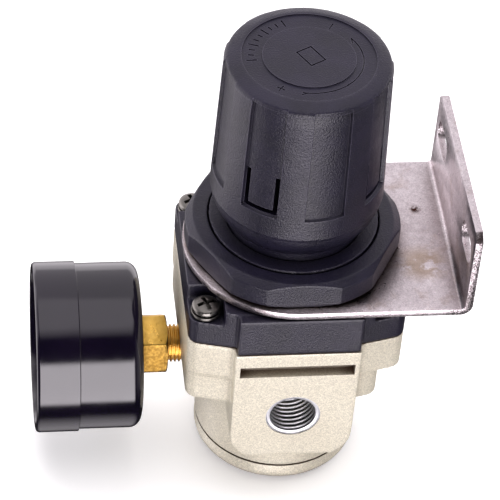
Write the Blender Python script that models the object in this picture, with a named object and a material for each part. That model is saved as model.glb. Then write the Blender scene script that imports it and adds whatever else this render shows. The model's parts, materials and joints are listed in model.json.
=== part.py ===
"""Relieving air pressure regulator with panel nut, L-shaped bracket and back-entry gauge.

Frame: +Z runs up the knob's axis, the origin is the middle of the flat underside.
The gauge points to -X, the bracket's wall face looks to +X, and the two main ports
open at -Y (inlet) and +Y (outlet). All figures below are millimetres.
"""
import math

import bmesh
import bpy
from mathutils import Matrix, Vector

MM = 0.001
GAP = 0.3                    # clearance between pieces that touch or slide
LARGE, MEDIUM, SMALL = 32, 20, 10    # flats that stand for a circle, by its size

# Body casting and bottom plug
PLUG_TOP = 5.85
BODY_BOTTOM = 6.2
BODY_TOP = 52.55
BARREL_R = 20.8
PORT_Z = 30.9                # height of every port's axis
PORT_FACE_Y = 26.5
PORT_BLOCK_HALF = 15.5
PORT_R = 6.15                # mean radius of the G1/4 thread
PORT_DEPTH = 13.0
SIDE_X = 26.5
SHOULDER_Y = 23.8            # where the slanted ends meet the port block
SHOULDER_SLOPE = 0.24
CORNER_R = 3.0
FLANGE_Z = 42.0
STEP_Z = 33.0
STEP_RIGHT = 21.2
GAUGE_PORT_R = 4.95
GAUGE_FACE_X = 24.6
CHAMBER_R = 11.0
WEB_BOTTOM = 27.0
WEB_TOP = 30.5
SEAT_R = 5.0

# Bonnet
BONNET_BOTTOM = 52.85
BONNET_TOP = 64.2
POCKET_FLOOR = 59.8
SCREW_X = 22.4
SCREW_Y = 18.2
NECK_R = 20.6
NECK_BORE_R = 17.0
NECK_TOP = 74.6
NECK_FLOOR = 70.0
TUBE_R = 14.4
TUBE_BORE_R = 12.6
TUBE_ROOF = 98.8
TUBE_TOP = 101.8

# Nut and bracket
NUT_BOTTOM = 66.8
NUT_TOP = 74.2
NUT_HALF_FLATS = 24.75
NUT_CORNER_R = 26.3
SHEET = 1.8
PLATE_TOP = 66.5
BRACKET_HALF = 26.6
WALL_FACE_X = 40.65
FLANGE_HEIGHT = 23.5
BEND_R = 3.0
SLOT_Y = 18.0
SLOT_Z = 80.7
SLOT_LENGTH = 11.8
SLOT_WIDTH = 6.5

# Knob
KNOB_TOP = 123.6
KNOB_RIM_R = 19.7
KNOB_FOOT_R = 20.9
KNOB_FOOT_Z = 85.2
KNOB_PANEL_TOP = 121.4
KNOB_PANEL_FOOT = 90.7
KNOB_PANEL_DEPTH = 0.8
KNOB_SKIRT_R = 16.6
KNOB_SKIRT_BOTTOM = 72.6
KNOB_BANDS = 8
KNOB_PHASE = math.radians(-102.0)    # middle of the band that faces the front
BAND_HALF = math.radians(9.1)
TONGUE_TOP = 102.3

# Regulating spring and adjusting screw
SPRING_R = 10.4
SPRING_WIRE = 2.6
SPRING_BOTTOM = 54.5
SPRING_TOP = 88.4
SPRING_TURNS = 6
SCREW_R = 3.9

# Gauge, measured outwards from the knob's axis towards -X
GAUGE_HEX = 14.0             # across the flats
GAUGE_R = 20.9
GAUGE_RING_R = 21.4
GAUGE_BACK = 36.3
GAUGE_FRONT = 62.7
GAUGE_RING_BACK = 52.0
BOURDON_R = 14.0
TIP_ANGLE = -110.0           # where the Bourdon tube ends, from the top of the dial
TAIL_LENGTH = 4.0            # sector pivot to the link's pivot
TAIL_ANGLE = 220.0
PILLAR_UP = 4.5
PILLAR_SIDE = 4.4
PINION_TEETH = 8
SECTOR_TEETH = 72            # teeth of the full circle that the sector is part of
GEAR_MODULE = 0.3


# ---------------------------------------------------------------- helpers

def clear_scene():
    for item in list(bpy.data.objects):
        bpy.data.objects.remove(item, do_unlink=True)


def material(name, colour, roughness, metallic=0.0):
    made = bpy.data.materials.new(name)
    made.use_nodes = True
    shader = made.node_tree.nodes["Principled BSDF"]
    shader.inputs["Base Color"].default_value = (*colour, 1.0)
    shader.inputs["Roughness"].default_value = roughness
    shader.inputs["Metallic"].default_value = metallic
    return made


def make(name, bm, matrix=None):
    """Turn a mesh drawn in millimetres into an object in metres."""
    if matrix is not None:
        bmesh.ops.transform(bm, matrix=matrix, verts=bm.verts)
    bmesh.ops.scale(bm, vec=(MM, MM, MM), verts=bm.verts)
    bmesh.ops.recalc_face_normals(bm, faces=bm.faces)
    mesh = bpy.data.meshes.new(name)
    bm.to_mesh(mesh)
    bm.free()
    item = bpy.data.objects.new(name, mesh)
    bpy.context.collection.objects.link(item)
    return item


def finish(item, colour, origin=(0.0, 0.0, 0.0), smooth=35.0):
    """Give a piece its material and shading, and put its origin where its joint is."""
    item.data.materials.clear()
    item.data.materials.append(colour)
    item.data.shade_smooth()
    item.data.set_sharp_from_angle(angle=math.radians(smooth))
    shift = [value * MM for value in origin]
    item.data.transform(Matrix.Translation(shift).inverted())
    item.location = shift
    return item


def combine(item, others, operation):
    """Cut or join the other objects into this one, and drop them."""
    for other in others:
        modifier = item.modifiers.new("shape", "BOOLEAN")
        modifier.operation = operation
        modifier.solver = "EXACT"
        modifier.object = other
        graph = bpy.context.evaluated_depsgraph_get()
        mesh = bpy.data.meshes.new_from_object(item.evaluated_get(graph))
        item.modifiers.clear()
        item.data = mesh
        bpy.data.objects.remove(other, do_unlink=True)
    return item


def cut(item, *cutters):
    return combine(item, cutters, "DIFFERENCE")


def join(item, *pieces):
    return combine(item, pieces, "UNION")


def arc(centre_x, centre_y, radius, start, end, steps):
    """Points along an arc, with angles in degrees."""
    points = []
    for step in range(steps + 1):
        angle = math.radians(start + (end - start) * step / steps)
        points.append((centre_x + radius * math.cos(angle), centre_y + radius * math.sin(angle)))
    return points


def turned(profile, steps=LARGE, start=0.0):
    """Spin a closed profile of (radius, height) points round the Z axis, from an angle in degrees."""
    bm = bmesh.new()
    first_side = (math.cos(math.radians(start)), math.sin(math.radians(start)))
    verts = [bm.verts.new((radius * first_side[0], radius * first_side[1], height))
             for radius, height in profile]
    for first, second in zip(verts, verts[1:] + verts[:1]):
        if first.co.xy.length > 1e-6 or second.co.xy.length > 1e-6:
            bm.edges.new((first, second))
    bmesh.ops.spin(bm, geom=list(bm.verts) + list(bm.edges), cent=(0, 0, 0), axis=(0, 0, 1),
                   angle=math.tau, steps=steps, use_duplicate=False)
    bmesh.ops.remove_doubles(bm, verts=bm.verts, dist=1e-4)
    return bm


def prism(outline, low, high):
    """Extrude a closed outline of (x, y) points from one height to another."""
    bm = bmesh.new()
    face = bm.faces.new([bm.verts.new((x, y, low)) for x, y in outline])
    grown = bmesh.ops.extrude_face_region(bm, geom=[face])
    top = [part for part in grown["geom"] if isinstance(part, bmesh.types.BMVert)]
    bmesh.ops.translate(bm, vec=(0, 0, high - low), verts=top)
    return bm


def block(low, high):
    """A box between two opposite corners."""
    outline = [(low[0], low[1]), (high[0], low[1]), (high[0], high[1]), (low[0], high[1])]
    return prism(outline, low[2], high[2])


def rod(radius, low, high, steps=MEDIUM, start=0.0):
    return turned([(0, low), (0, high), (radius, high), (radius, low)], steps, start)


def tube(outer, inner, low, high, steps=LARGE):
    return turned([(outer, high), (outer, low), (inner, low), (inner, high)], steps)


def loft(rings):
    """Close a row of equal point loops into one solid, ends capped."""
    bm = bmesh.new()
    loops = [[bm.verts.new(point) for point in ring] for ring in rings]
    for lower, upper in zip(loops, loops[1:]):
        for index in range(len(lower)):
            following = (index + 1) % len(lower)
            bm.faces.new((lower[index], lower[following], upper[following], upper[index]))
    bm.faces.new(loops[0])
    bm.faces.new(loops[-1])
    return bm


def swept(path, radius, sides=6):
    """A round wire along a list of points, with flat ends."""
    rings = []
    for index, point in enumerate(path):
        before = path[max(index - 1, 0)]
        after = path[min(index + 1, len(path) - 1)]
        ahead = (after[0] - before[0], after[1] - before[1], after[2] - before[2])
        length = math.sqrt(sum(value * value for value in ahead))
        ahead = [value / length for value in ahead]
        flat = math.hypot(point[0], point[1])
        out = (point[0] / flat, point[1] / flat, 0.0)
        side = (ahead[1] * out[2] - ahead[2] * out[1],
                ahead[2] * out[0] - ahead[0] * out[2],
                ahead[0] * out[1] - ahead[1] * out[0])
        ring = []
        for step in range(sides):
            turn = math.tau * step / sides
            ring.append(tuple(point[k] + radius * (math.cos(turn) * out[k] + math.sin(turn) * side[k])
                              for k in range(3)))
        rings.append(ring)
    return loft(rings)


def coil(radius, wire, low, high, turns, steps=12, ends=0.75):
    """A compression spring: its end turns lie nearly flat, the others rise evenly."""
    count = int(turns * steps)
    path = []
    for step in range(count + 1):
        turn = step / steps
        rise = min(max((turn - ends) / (turns - 2 * ends), 0.0), 1.0)
        slope = wire * 1.04 * (min(turn, ends) + min(turns - turn, ends) * -1 + ends) / (2 * ends)
        height = low + wire / 2 + slope + rise * (high - low - wire - wire * 1.04)
        angle = math.tau * turn
        path.append((radius * math.cos(angle), radius * math.sin(angle), height))
    return swept(path, wire / 2)


LYING_X = Matrix.Rotation(math.radians(90), 4, "Y")          # local Z becomes +X
LYING_Y = Matrix.Rotation(math.radians(-90), 4, "X")         # local Z becomes +Y
FACING_X = Matrix.Rotation(math.radians(90), 4, "Z") @ Matrix.Rotation(math.radians(90), 4, "X")
GAUGE = Matrix.Translation((0, 0, PORT_Z)) @ Matrix.Rotation(math.radians(-90), 4, "Y")


def along_x(height=PORT_Z):
    return Matrix.Translation((0, 0, height)) @ LYING_X


def along_y(height=PORT_Z):
    return Matrix.Translation((0, 0, height)) @ LYING_Y


# ---------------------------------------------------------------- housing

def quarter_outline(side, inset):
    """One quarter of the body seen from above, from the port block round to the side."""
    normal = math.degrees(math.atan2(1.0, SHOULDER_SLOPE))
    length = math.hypot(1.0, SHOULDER_SLOPE)
    start_y = SHOULDER_Y - inset
    centre_x = side - CORNER_R
    centre_y = start_y - SHOULDER_SLOPE * (centre_x - PORT_BLOCK_HALF) - CORNER_R * length
    return [(PORT_BLOCK_HALF, start_y)] + arc(centre_x, centre_y, CORNER_R, normal, 0.0, 4)


def plan_outline(left, right, inset=0.0):
    """Closed outline of the body seen from above, with slanted ends and rounded corners."""
    points = []
    for sign_x, sign_y in ((1, 1), (-1, 1), (-1, -1), (1, -1)):
        side = right if sign_x > 0 else left
        run = [(sign_x * x, sign_y * y) for x, y in quarter_outline(side, inset)]
        points += reversed(run) if sign_x * sign_y > 0 else run
    return points


def screw_places():
    return [(x, y) for y in (-SCREW_Y, SCREW_Y) for x in (-SCREW_X, SCREW_X)]


def port_block():
    """The block that carries both main ports: a shape in XZ, extruded along Y."""
    half = [(11.0, 16.8), (13.6, 19.5), (15.1, 22.5), (PORT_BLOCK_HALF, BODY_TOP + 1.5)]
    outline = [(-x, z) for x, z in half] + [(x, z) for x, z in reversed(half)]
    turn = Matrix.Rotation(math.radians(90), 4, "X")
    return make("port_block", prism(outline, -PORT_FACE_Y, PORT_FACE_Y), turn)


def port_cutters():
    """Threaded mouths, clamp grooves and the passages to the two chambers."""
    cutters = []
    for sign in (-1, 1):
        deep = PORT_FACE_Y - PORT_DEPTH
        mouth = [(0, deep), (0, 28), (8.4, 28), (PORT_R, 25.75), (PORT_R, deep)]
        turn = along_y() if sign > 0 else Matrix.Rotation(math.pi, 4, "Z") @ along_y()
        cutters.append(make("port", turned(mouth, MEDIUM), turn))
        groove = block((-14.1, 23.8, 45.0), (14.1, 28.0, 48.5))
        cutters.append(make("groove", groove, Matrix.Rotation(math.pi if sign < 0 else 0, 4, "Z")))
    cutters.append(make("inlet", rod(2.4, -15.0, -9.0, SMALL, 5.0), along_y(24.4)))
    cutters.append(make("outlet", rod(3.2, 7.0, 15.0, SMALL, 5.0), along_y(34.6)))
    drilled = [(0, 7.6), (0, 28.0), (GAUGE_PORT_R, 28.0), (GAUGE_PORT_R, 14.5), (1.4, 14.5), (1.4, 7.6)]
    for sign in (-1, 1):
        turn = along_x() if sign > 0 else Matrix.Rotation(math.pi, 4, "Z") @ along_x()
        cutters.append(make("gauge_port", turned(drilled, MEDIUM, 3.0), turn))
    return cutters


def chamber_cutters():
    """One turned space: valve chamber, seat in its web, outlet chamber, diaphragm's recess."""
    space = [(0, 4.0), (0, 54.0), (19.0, 54.0), (19.0, 50.6), (16.0, 50.6), (16.0, 46.0), (9.0, 44.0),
             (9.0, WEB_TOP), (SEAT_R, WEB_TOP), (SEAT_R, WEB_BOTTOM - 0.8),
             (SEAT_R + 1.2, WEB_BOTTOM - 0.8), (SEAT_R + 1.6, WEB_BOTTOM), (CHAMBER_R, WEB_BOTTOM),
             (CHAMBER_R, 4.0)]
    cutters = [make("space", turned(space, LARGE, 2.0))]
    for x, y in screw_places():
        hole = rod(1.9, 38.0, 54.0, SMALL)
        cutters.append(make("screw_hole", hole, Matrix.Translation((x, y, 0))))
    return cutters


def regulator_body(paint):
    body = make("regulator_body", rod(BARREL_R, BODY_BOTTOM, 45.0, LARGE))
    flange = make("flange", prism(plan_outline(SIDE_X, SIDE_X), FLANGE_Z, BODY_TOP + 1.0))
    step = make("step", prism(plan_outline(SIDE_X - 0.3, STEP_RIGHT, 0.6), STEP_Z, FLANGE_Z + 1.0))
    bosses = []
    for sign in (-1, 1):
        turn = along_x() if sign > 0 else Matrix.Rotation(math.pi, 4, "Z") @ along_x()
        bosses.append(make("boss", rod(8.2, 12.0, GAUGE_FACE_X), turn))
    join(body, flange, step, port_block(), *bosses)
    top = make("top", block((-40, -40, BODY_TOP), (40, 40, BODY_TOP + 20)))
    cut(body, top, *chamber_cutters(), *port_cutters())
    return finish(body, paint)


def bottom_plug(paint):
    """Screwed plug that closes the valve chamber and guides the poppet's stem."""
    edge = arc(BARREL_R - 3.5, 3.5, 3.5, -90, 0, 3)
    profile = [(0, 0)] + edge + [(BARREL_R, PLUG_TOP), (10.7, PLUG_TOP), (10.7, 8.0), (9.5, 8.0),
                                 (9.5, 10.0), (10.7, 10.0), (10.7, 14.0), (6.3, 14.0), (6.3, 10.0),
                                 (4.3, 10.0), (4.3, 14.0), (3.3, 14.0), (3.3, 7.0), (0, 7.0)]
    plug = make("bottom_plug", turned(profile))
    slots = [make("slot", block((side - 2.5, -1.3, -1.0), (side + 2.5, 1.3, 1.8)))
             for side in (-13.0, 13.0)]
    return finish(cut(plug, *slots), paint)


def o_ring(name, rubber, radius, section, height):
    path = arc(radius, height, section, 0, 360, 6)[:-1]
    return finish(make(name, turned(path, MEDIUM)), rubber)


def port_plug(metal):
    """Hexagon-socket plug in the gauge port that looks to +X."""
    profile = [(0, 17.5), (0, 25.6), (4.4, 25.6), (4.7, 25.2), (4.7, 17.5)]
    plug = make("gauge_port_plug", turned(profile, MEDIUM), along_x())
    socket = make("socket", prism(arc(0, 0, 2.9, 0, 300, 5), 22.5, 27.0), along_x())
    return finish(cut(plug, socket), metal)


def bonnet(plastic):
    shell = make("bonnet", prism(plan_outline(SIDE_X, SIDE_X), BONNET_BOTTOM, BONNET_TOP))
    panel = make("panel", block((-15.0, -PORT_FACE_Y, BONNET_BOTTOM), (15.0, PORT_FACE_Y, 64.0)))
    neck = [(0, 58.0), (23.5, 58.0), (23.5, 64.5), (NECK_R, 64.5), (NECK_R, NECK_TOP),
            (NECK_BORE_R, NECK_TOP), (NECK_BORE_R, NECK_FLOOR), (TUBE_R, NECK_FLOOR),
            (TUBE_R, TUBE_TOP), (0, TUBE_TOP)]
    join(shell, panel, make("neck", turned(neck)))
    cavity = [(0, 50.0), (16.0, 50.0), (16.0, 56.5), (TUBE_BORE_R, 58.5), (TUBE_BORE_R, TUBE_ROOF),
              (4.5, TUBE_ROOF), (4.5, 104.0), (0, 104.0)]
    cutters = [make("cavity", turned(cavity))]
    for x, y in screw_places():
        pocket = block((18.2 if x > 0 else -30.0, 13.2 if y > 0 else -30.0, POCKET_FLOOR),
                       (30.0 if x > 0 else -18.2, 30.0 if y > 0 else -13.2, 70.0))
        cutters.append(make("pocket", pocket))
        cutters.append(make("hole", rod(1.9, 50.0, 62.0, SMALL), Matrix.Translation((x, y, 0))))
    for sign in (-1, 1):
        low_x, high_x = sorted((sign * 11.0, sign * 13.5))
        cutters.append(make("key", block((low_x, -2.3, 66.0), (high_x, 2.3, TUBE_ROOF))))
    return finish(cut(shell, *cutters), plastic)


def bonnet_screws(metal):
    """Four cross-recessed pan-head screws, each with its washer."""
    head = [(0, 42.0), (1.6, 42.0), (1.6, 61.2), (3.4, 61.2), (3.4, 62.2), (2.9, 62.9), (1.8, 63.2),
            (0, 63.2)]
    for number, (x, y) in enumerate(screw_places(), 1):
        place = Matrix.Translation((x, y, 0))
        screw = make(f"bonnet_screw_{number}", turned(head, SMALL), place)
        bars = [make("bar", block((-2.0, -0.4, 62.0), (2.0, 0.4, 64.0)),
                     place @ Matrix.Rotation(math.radians(angle), 4, "Z")) for angle in (0, 90)]
        finish(cut(screw, *bars), metal)
        washer = tube(3.6, 2.0, POCKET_FLOOR + GAP, 60.9, SMALL)
        finish(make(f"screw_washer_{number}", washer, place), metal)


def panel_nut(plastic):
    half_angle = math.degrees(math.acos(NUT_HALF_FLATS / NUT_CORNER_R))
    outline = []
    for flat in range(6):
        middle = -90.0 + 60.0 * flat
        outline += arc(0, 0, NUT_CORNER_R, middle + half_angle, middle + 60.0 - half_angle, 2)
    nut = make("panel_nut", prism(outline, NUT_BOTTOM, NUT_TOP))
    chamfer = [(0, NUT_BOTTOM), (24.6, NUT_BOTTOM), (28.0, NUT_BOTTOM + 1.8), (28.0, NUT_TOP - 2.6),
               (24.4, NUT_TOP), (0, NUT_TOP)]
    combine(nut, [make("envelope", turned(chamfer))], "INTERSECT")
    bore = make("bore", rod(NECK_R + GAP, NUT_BOTTOM - 2, NUT_TOP + 2, LARGE))
    return finish(cut(nut, bore), plastic)


def bracket(metal):
    """Bent sheet: a round-ended plate under the nut and an upright wall flange."""
    bend_x = WALL_FACE_X - BEND_R
    bend_z = PLATE_TOP - SHEET + BEND_R
    top = PLATE_TOP + FLANGE_HEIGHT
    profile = [(-30.0, PLATE_TOP - SHEET)] + arc(bend_x, bend_z, BEND_R, -90, 0, 6)
    profile += [(WALL_FACE_X, top), (WALL_FACE_X - SHEET, top)]
    profile += arc(bend_x, bend_z, BEND_R - SHEET, 0, -90, 6) + [(-30.0, PLATE_TOP)]
    turn = Matrix.Rotation(math.radians(90), 4, "X")
    sheet = make("mounting_bracket", prism(profile, -BRACKET_HALF, BRACKET_HALF), turn)
    plan = [(50.0, -BRACKET_HALF), (50.0, BRACKET_HALF)] + arc(0, 0, BRACKET_HALF, 90, 270, 20)
    combine(sheet, [make("plan", prism(plan, 50.0, 100.0))], "INTERSECT")
    cutters = [make("hole", rod(NECK_R + GAP, 50.0, 70.0, LARGE))]
    reach = (SLOT_LENGTH - SLOT_WIDTH) / 2
    for sign in (-1, 1):
        centre = sign * SLOT_Y
        slot = arc(0, centre + reach, SLOT_WIDTH / 2, 0, 180, 8)
        slot += arc(0, centre - reach, SLOT_WIDTH / 2, 180, 360, 8)
        turn = Matrix.Translation((0, 0, SLOT_Z)) @ Matrix.Rotation(math.radians(-90), 4, "Y")
        cutters.append(make("slot", prism(slot, -45.0, -35.0), turn))
        corner = [(sign * (BRACKET_HALF - 2.0), top + 1), (sign * (BRACKET_HALF + 1), top + 1),
                  (sign * (BRACKET_HALF + 1), top - 2.0), (sign * BRACKET_HALF, top - 2.0),
                  (sign * (BRACKET_HALF - 2.0), top)]
        cutters.append(make("corner", prism(corner, 35.0, 45.0), FACING_X))
    return finish(cut(sheet, *cutters), metal)


def build_housing():
    paint = material("champagne_paint", (0.72, 0.66, 0.52), 0.45, 0.3)
    plug_paint = material("champagne_plug", (0.74, 0.69, 0.57), 0.4, 0.3)
    plastic = material("charcoal_plastic", (0.06, 0.055, 0.075), 0.5)
    nut_plastic = material("charcoal_nut", (0.055, 0.05, 0.065), 0.45)
    nickel = material("nickel_plate", (0.66, 0.62, 0.62), 0.35, 0.9)
    zinc = material("dark_zinc", (0.3, 0.29, 0.27), 0.35, 0.9)
    rubber = material("seal_rubber", (0.03, 0.03, 0.03), 0.7)
    regulator_body(paint)
    bottom_plug(plug_paint)
    o_ring("plug_o_ring", rubber, 10.2, 0.55, 9.0)
    port_plug(zinc)
    bonnet(plastic)
    bonnet_screws(zinc)
    panel_nut(nut_plastic)
    bracket(nickel)
    washer = tube(7.5, 4.7, 97.7, 98.5, MEDIUM)
    finish(make("thrust_washer", washer), material("washer_steel", (0.5, 0.5, 0.5), 0.3, 1.0))


# ---------------------------------------------------------------- knob and screw

def knob_ring(height, radius, depth):
    """One level of the knob: raised bands and sunk panels, as a loop of points."""
    points = []
    pitch = math.tau / KNOB_BANDS
    for band in range(KNOB_BANDS):
        middle = KNOB_PHASE + band * pitch
        for share in (-1.0, 0.0, 1.0):
            angle = middle + share * BAND_HALF
            points.append((radius * math.cos(angle), radius * math.sin(angle), height))
        step = math.radians(0.7)
        span = pitch - 2 * BAND_HALF - 2 * step
        for share in (0.0, 0.5, 1.0):
            angle = middle + BAND_HALF + step + share * span
            low = radius - depth
            points.append((low * math.cos(angle), low * math.sin(angle), height))
    return points


def knob_radius(height):
    """The side tapers evenly from the foot to the rim."""
    share = (height - KNOB_FOOT_Z) / (KNOB_TOP - 1.6 - KNOB_FOOT_Z)
    return KNOB_FOOT_R + (KNOB_RIM_R - KNOB_FOOT_R) * share


def knob(plastic):
    """Cap-shaped knob with eight sunk panels; four of them end in spring tongues."""
    depth = KNOB_PANEL_DEPTH
    levels = [(KNOB_SKIRT_BOTTOM, KNOB_SKIRT_R, 0), (76.6, KNOB_SKIRT_R, 0), (80.5, 18.8, 0),
              (KNOB_FOOT_Z, KNOB_FOOT_R, 0),
              (KNOB_PANEL_FOOT, knob_radius(KNOB_PANEL_FOOT), 0),
              (KNOB_PANEL_FOOT + 0.1, knob_radius(KNOB_PANEL_FOOT), depth),
              (KNOB_PANEL_TOP, knob_radius(KNOB_PANEL_TOP), depth),
              (KNOB_PANEL_TOP + 0.1, knob_radius(KNOB_PANEL_TOP), 0),
              (KNOB_TOP - 1.6, KNOB_RIM_R, 0), (KNOB_TOP - 0.8, 19.1, 0), (KNOB_TOP, 16.3, 0)]
    shell = make("knob", loft([knob_ring(*level) for level in levels]))
    hollow = [(14.8, 70.0), (14.8, 82.0), (17.2, 87.0), (17.2, 118.6), (7.0, 118.6), (7.0, 102.4),
              (0, 102.4), (0, 70.0)]
    cutters = [make("hollow", turned(hollow)),
               make("hex", prism(arc(0, 0, 4.4, 0, 300, 5), 100.0, 114.0))]
    foot = KNOB_PANEL_FOOT + 0.4
    tongue = [(-4.35, foot), (4.35, foot), (4.35, TONGUE_TOP), (3.2, TONGUE_TOP), (3.2, foot + 1.3),
              (-3.2, foot + 1.3), (-3.2, TONGUE_TOP), (-4.35, TONGUE_TOP)]
    for panel in range(0, KNOB_BANDS, 2):
        middle = KNOB_PHASE + (panel - 0.5) * math.tau / KNOB_BANDS
        cutters.append(make("slot", prism(tongue, 15.0, 24.0), Matrix.Rotation(middle, 4, "Z") @ FACING_X))
    return finish(cut(shell, *cutters), plastic)


def adjusting_screw(steel):
    """Screw that stays at one height: thread below, thrust collar, hexagon drive on top."""
    profile = [(0, 64.0), (SCREW_R, 64.0), (SCREW_R, 95.4), (7.0, 95.4), (7.0, 97.4), (4.1, 97.4),
               (4.1, 102.2), (0, 102.2)]
    screw = make("adjusting_screw", turned(profile, MEDIUM))
    drive = make("drive", prism(arc(0, 0, 4.0, 0, 300, 5), 102.0, 112.0))
    return finish(join(screw, drive), steel)


def spring_seat(steel):
    """Travelling nut: two keys keep it from turning, its rim holds the spring's top."""
    profile = [(4.3, 86.5), (8.6, 86.5), (8.6, 88.7), (12.2, 88.7), (12.2, 92.0), (6.5, 92.0),
               (6.5, 94.8), (4.3, 94.8)]
    seat = make("spring_seat", turned(profile, MEDIUM))
    keys = [make("key", block((-13.2, -1.9, 89.0), (-9.0, 1.9, 91.7))),
            make("key", block((9.0, -1.9, 89.0), (13.2, 1.9, 91.7)))]
    return finish(join(seat, *keys), steel)


def build_setting():
    plastic = material("knob_plastic", (0.06, 0.055, 0.075), 0.42)
    knob(plastic)
    adjusting_screw(material("screw_steel", (0.55, 0.54, 0.5), 0.3, 1.0))
    spring_seat(material("seat_steel", (0.5, 0.48, 0.4), 0.35, 1.0))
    spring = coil(SPRING_R, SPRING_WIRE, SPRING_BOTTOM, SPRING_TOP, SPRING_TURNS)
    finish(make("regulating_spring", spring), material("spring_steel", (0.35, 0.35, 0.36), 0.3, 1.0))


# ---------------------------------------------------------------- diaphragm and valve

def diaphragm(rubber):
    profile = [(2.9, 50.9), (13.0, 50.9), (14.0, 51.6), (15.2, 51.6), (16.2, 50.9), (18.7, 50.9),
               (18.7, 52.2), (16.6, 52.2), (15.6, 52.5), (13.6, 52.5), (12.6, 51.9), (2.9, 51.9)]
    return finish(make("diaphragm", turned(profile)), rubber)


def diaphragm_plate(alloy):
    """Upper plate: carries the spring's foot and centres it."""
    profile = [(2.8, 52.4), (12.0, 52.4), (12.0, 54.2), (8.6, 54.2), (7.6, 57.2), (2.8, 57.2)]
    return finish(make("diaphragm_plate", turned(profile, MEDIUM)), alloy)


def relief_seat(brass):
    """Lower plate with the vent tube that the valve stem's tip closes."""
    profile = [(0.9, 49.0), (8.0, 49.0), (8.0, 50.6), (2.5, 50.6), (2.5, 56.2), (0.9, 56.2)]
    return finish(make("relief_seat", turned(profile, MEDIUM)), brass)


def valve_poppet(brass):
    """Poppet with its push stem above and its guide stem, grooved for an O-ring, below."""
    profile = [(0, 9.6), (3.0, 9.6), (3.0, 10.4), (2.2, 10.4), (2.2, 12.0), (3.0, 12.0), (3.0, 20.0),
               (7.4, 20.0), (7.4, 22.8), (3.2, 22.8), (3.2, 26.2), (1.5, 27.0), (1.5, 47.6),
               (0.5, 48.7), (0, 48.7)]
    return finish(make("valve_poppet", turned(profile, MEDIUM)), brass)


def build_valve():
    rubber = material("diaphragm_rubber", (0.05, 0.045, 0.04), 0.65)
    brass = material("valve_brass", (0.75, 0.55, 0.2), 0.3, 1.0)
    diaphragm(rubber)
    diaphragm_plate(material("plate_alloy", (0.7, 0.7, 0.72), 0.35, 1.0))
    relief_seat(brass)
    valve_poppet(brass)
    seal = material("seal_nbr", (0.03, 0.03, 0.03), 0.6)
    finish(make("valve_seal", tube(7.4, 3.5, 23.1, 25.9, MEDIUM)), seal)
    o_ring("stem_o_ring", seal, 2.75, 0.42, 11.2)
    spring = coil(5.3, 0.9, 10.3, 19.7, 4, 10)
    finish(make("valve_spring", spring), material("valve_spring_steel", (0.6, 0.6, 0.6), 0.3, 1.0))


# ---------------------------------------------------------------- gauge

def gauge_origin(up=0.0, across=0.0):
    """World place of a joint axis that runs along X inside the gauge."""
    return (0.0, across, PORT_Z + up)


def gauge_socket(brass):
    """Threaded stem, hexagon, and the inner block that holds the tube and the movement."""
    thread = [(1.5, 17.5), (4.4, 17.5), (4.65, 18.2), (4.65, 29.5), (1.5, 29.5)]
    socket = make("gauge_socket", turned(thread, MEDIUM), GAUGE)
    hexagon = prism(arc(0, 0, GAUGE_HEX / math.sqrt(3), -47, 253, 5), 29.3, 36.0)
    neck = rod(3.9, 35.0, 39.5)
    inner = block((-12.1, -4.0, 38.8), (3.0, 4.0, 46.0))
    for piece in (hexagon, neck, inner):
        join(socket, make("piece", piece, GAUGE))
    bore = make("bore", rod(1.5, 16.0, 43.0, SMALL), GAUGE)
    return finish(cut(socket, bore), brass)


def gauge_shell(black, ring_black, glass, white):
    back = arc(GAUGE_R - 3.0, GAUGE_BACK + 3.0, 3.0, -90, 0, 4)
    profile = [(4.3, GAUGE_BACK)] + back + [(GAUGE_R, 51.7), (19.9, 51.7), (19.9, 59.4), (18.6, 59.4),
                                            (18.6, 39.8), (17.2, 38.4), (4.3, 38.4)]
    finish(make("gauge_case", turned(profile), GAUGE), black)
    ring = [(GAUGE_RING_R, GAUGE_RING_BACK), (GAUGE_RING_R, 62.2), (20.9, GAUGE_FRONT),
            (18.9, GAUGE_FRONT), (18.4, 61.0), (20.2, 61.0), (20.2, GAUGE_RING_BACK)]
    finish(make("gauge_ring", turned(ring), GAUGE), ring_black)
    finish(make("gauge_window", rod(19.8, 59.8, 60.7, LARGE), GAUGE), glass)
    dial = make("gauge_dial", tube(18.2, 1.5, 55.6, 56.2), GAUGE)
    holes = [make("hole", rod(0.9, 50.0, 60.0, 8), GAUGE @ Matrix.Translation((PILLAR_UP, y, 0)))
             for y in (-PILLAR_SIDE, PILLAR_SIDE)]
    finish(cut(dial, *holes), white)


def gear_outline(teeth, first, last, inner):
    """Toothed arc as polar points: teeth numbered from first to last, slim for backlash."""
    pitch_r = GEAR_MODULE * teeth / 2
    pitch = 360.0 / teeth
    half = math.degrees(0.17 / pitch_r)
    tip_half = math.degrees(0.07 / (pitch_r + 0.22))
    points = []
    for tooth in range(first, last + 1):
        middle = tooth * pitch
        for radius, offset in ((pitch_r - 0.32, -half * 1.5), (pitch_r + 0.22, -tip_half),
                               (pitch_r + 0.22, tip_half), (pitch_r - 0.32, half * 1.5)):
            angle = math.radians(middle + offset)
            points.append((radius * math.cos(angle), radius * math.sin(angle)))
    return points + inner


def tip_place():
    """Middle of the Bourdon tube's free end."""
    angle = math.radians(TIP_ANGLE + 3.0)
    return Matrix.Translation((BOURDON_R * math.cos(angle), BOURDON_R * math.sin(angle), 0))


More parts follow.
